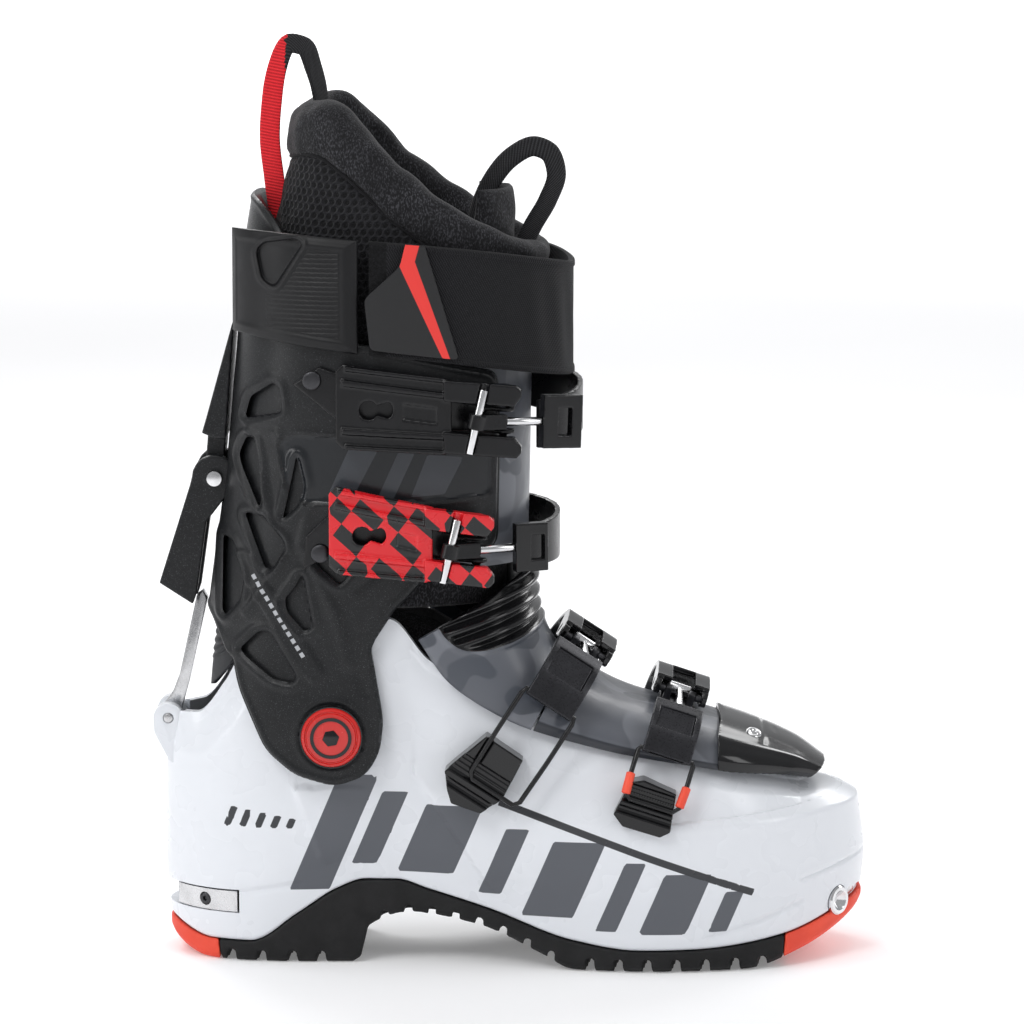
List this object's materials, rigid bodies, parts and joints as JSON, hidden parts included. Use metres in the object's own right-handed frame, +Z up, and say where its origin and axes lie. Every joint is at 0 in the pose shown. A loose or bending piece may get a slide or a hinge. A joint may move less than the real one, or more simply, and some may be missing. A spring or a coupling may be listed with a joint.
{
  "type": "alpine touring boot",
  "caption": "Right alpine touring ski boot with pivoting cuff, ski and walk lock, soft liner, lever buckles, power strap and lugged rubber sole.",
  "frame": {"origin": "point of the ground plane under the cuff pivot, on the boot's middle plane", "axes": "+Z up, +X towards the toe, +Y towards the medial (inner) side"},
  "size_m": [0.3, 0.1221, 0.3876],
  "materials": {
    "shell_white": "glossy injection-moulded polyamide, cool white",
    "tongue_grey": "grey moulded plastic with lighter patches",
    "tongue_dark": "flexible dark plastic, semi-gloss",
    "cuff_carbon": "fibre-filled plastic, matt with fine speckle",
    "black_plastic": "satin black plastic",
    "black_rubber": "matt black rubber",
    "red_rubber": "orange-red rubber",
    "red_plastic": "red plastic cap",
    "buckle_red": "red lacquer with black geometric pattern",
    "grey_metal": "dark grey anodised",
    "steel": "brushed steel",
    "black_wire": "black coated wire",
    "liner_fabric": "knitted mesh and heathered fabric",
    "webbing_black": "woven webbing",
    "webbing_red": "red woven webbing",
    "board_foam": "moulded foam board"
  },
  "bodies": {
    "shell": {"lower_shell": "shell_white", "outsole": "black_rubber", "heel_rubber_insert": "red_rubber", "toe_rubber_insert": "red_rubber", "toe_tech_insert": "steel", "heel_tech_insert": "steel", "heel_insert_screw": "steel", "boot_board": "board_foam", "tongue_lower": "tongue_grey", "tongue_anchor_cap": "black_plastic", "tongue_anchor_rivet": "steel", "tongue_bellows": "tongue_dark", "liner_foot": "liner_fabric", "instep_ladder": "black_plastic", "forefoot_ladder": "black_plastic", "instep_buckle_base": "grey_metal", "forefoot_buckle_base": "grey_metal", "pivot_bolt_lateral": "steel", "pivot_bolt_medial": "steel", "lock_bar_pin": "steel", "rear_gaiter": "black_rubber"},
    "cuff": {"cuff": "cuff_carbon", "lock_housing": "cuff_carbon", "tongue_upper": "tongue_grey", "pivot_cap_lateral": "red_plastic", "pivot_cap_medial": "red_plastic", "upper_buckle_base": "grey_metal", "upper_buckle_rivet": "steel", "lower_buckle_base": "grey_metal", "lower_buckle_rivet": "steel", "upper_catch_strap": "black_plastic", "lower_catch_strap": "black_plastic", "strap_anchor_plate": "black_rubber", "power_strap": "webbing_black", "strap_tab": "webbing_black", "liner_cuff": "liner_fabric", "liner_tongue": "liner_fabric", "liner_rear_loop": "webbing_red", "liner_front_loop": "webbing_black", "walk_lever_screw": "steel"},
    "walk_lever": {"walk_lever": "cuff_carbon"},
    "lock_bar": {"lock_bar": "steel"},
    "upper_lever": {"upper_lever": "black_plastic", "upper_hook_pin": "steel"},
    "upper_hook": {"upper_hook_block": "black_plastic", "upper_adjuster_rod": "steel", "upper_catch_block": "black_plastic"},
    "lower_lever": {"lower_lever": "buckle_red", "lower_hook_pin": "steel"},
    "lower_hook": {"lower_hook_block": "black_plastic", "lower_adjuster_rod": "steel", "lower_catch_block": "black_plastic"},
    "instep_lever": {"instep_lever": "grey_metal"},
    "instep_plate": {"instep_plate": "grey_metal", "instep_adjuster_rod": "grey_metal"},
    "instep_bail": {"instep_bail": "black_wire"},
    "forefoot_lever": {"forefoot_lever": "grey_metal"},
    "forefoot_plate": {"forefoot_plate": "grey_metal", "forefoot_adjuster_rod": "grey_metal"},
    "forefoot_bail": {"forefoot_bail": "black_wire"}
  },
  "joints": [
    {"name": "cuff_pivot", "type": "hinge", "parent": "shell", "child": "cuff", "pos_m": [0, 0, 0.1], "axis": [0, 1, 0], "range_deg": [-30, 9], "deforming": ["tongue_bellows", "rear_gaiter", "liner_cuff"]},
    {"name": "lock_bar_pivot", "type": "hinge", "parent": "shell", "child": "lock_bar", "pos_m": [-0.071, 0, 0.1], "axis": [0, 1, 0], "range_deg": [-36, 11]},
    {"name": "walk_lever_pivot", "type": "hinge", "parent": "cuff", "child": "walk_lever", "pos_m": [-0.0504, 0, 0.2026], "axis": [0, 1, 0], "range_deg": [0, 100]},
    {"name": "upper_lever_pivot", "type": "hinge", "parent": "cuff", "child": "upper_lever", "pos_m": [0.0727, -0.0468, 0.2323], "axis": [0.2251, 0, 0.9743], "range_deg": [0, 100]},
    {"name": "upper_hook_pivot", "type": "hinge", "parent": "upper_lever", "child": "upper_hook", "pos_m": [0.0605, -0.0545, 0.2325], "axis": [0.2251, 0, 0.9743], "range_deg": [-115, 0]},
    {"name": "lower_lever_pivot", "type": "hinge", "parent": "cuff", "child": "lower_lever", "pos_m": [0.0615, -0.0468, 0.1785], "axis": [0.2251, 0, 0.9743], "range_deg": [0, 115]},
    {"name": "lower_hook_pivot", "type": "hinge", "parent": "lower_lever", "child": "lower_hook", "pos_m": [0.0495, -0.0545, 0.1788], "axis": [0.2251, 0, 0.9743], "range_deg": [-133, 0]},
    {"name": "instep_lever_pivot", "type": "hinge", "parent": "shell", "child": "instep_lever", "pos_m": [0.10433, -0.005, 0.1305], "axis": [0.8389, 0, -0.5443], "range_deg": [0, 100]},
    {"name": "instep_plate_pivot", "type": "hinge", "parent": "instep_lever", "child": "instep_plate", "pos_m": [0.10367, 0.007, 0.1295], "axis": [0.8389, 0, -0.5443], "range_deg": [-100, 0]},
    {"name": "instep_bail_pivot", "type": "hinge", "parent": "instep_plate", "child": "instep_bail", "pos_m": [0.0906, -0.0504, 0.11485], "axis": [0.8389, 0, -0.5443], "range_deg": [-60, 0]},
    {"name": "forefoot_lever_pivot", "type": "hinge", "parent": "shell", "child": "forefoot_lever", "pos_m": [0.1445, -0.005, 0.11052], "axis": [0.9507, 0, -0.3102], "range_deg": [0, 120]},
    {"name": "forefoot_plate_pivot", "type": "hinge", "parent": "forefoot_lever", "child": "forefoot_plate", "pos_m": [0.14419, 0.007, 0.10957], "axis": [0.9507, 0, -0.3102], "range_deg": [-120, 0]},
    {"name": "forefoot_bail_pivot", "type": "hinge", "parent": "forefoot_plate", "child": "forefoot_bail", "pos_m": [0.13866, -0.0476, 0.09265], "axis": [0.9507, 0, -0.3102], "range_deg": [-72, 0]}
  ],
  "couplings": [
    {"joint": "lock_bar_pivot", "follows": "cuff_pivot", "ratio": 1.2},
    {"joint": "upper_hook_pivot", "follows": "upper_lever_pivot", "ratio": -1.15},
    {"joint": "lower_hook_pivot", "follows": "lower_lever_pivot", "ratio": -1.15},
    {"joint": "instep_plate_pivot", "follows": "instep_lever_pivot", "ratio": -1},
    {"joint": "instep_bail_pivot", "follows": "instep_lever_pivot", "ratio": -0.6},
    {"joint": "forefoot_plate_pivot", "follows": "forefoot_lever_pivot", "ratio": -1},
    {"joint": "forefoot_bail_pivot", "follows": "forefoot_lever_pivot", "ratio": -0.6}
  ]
}
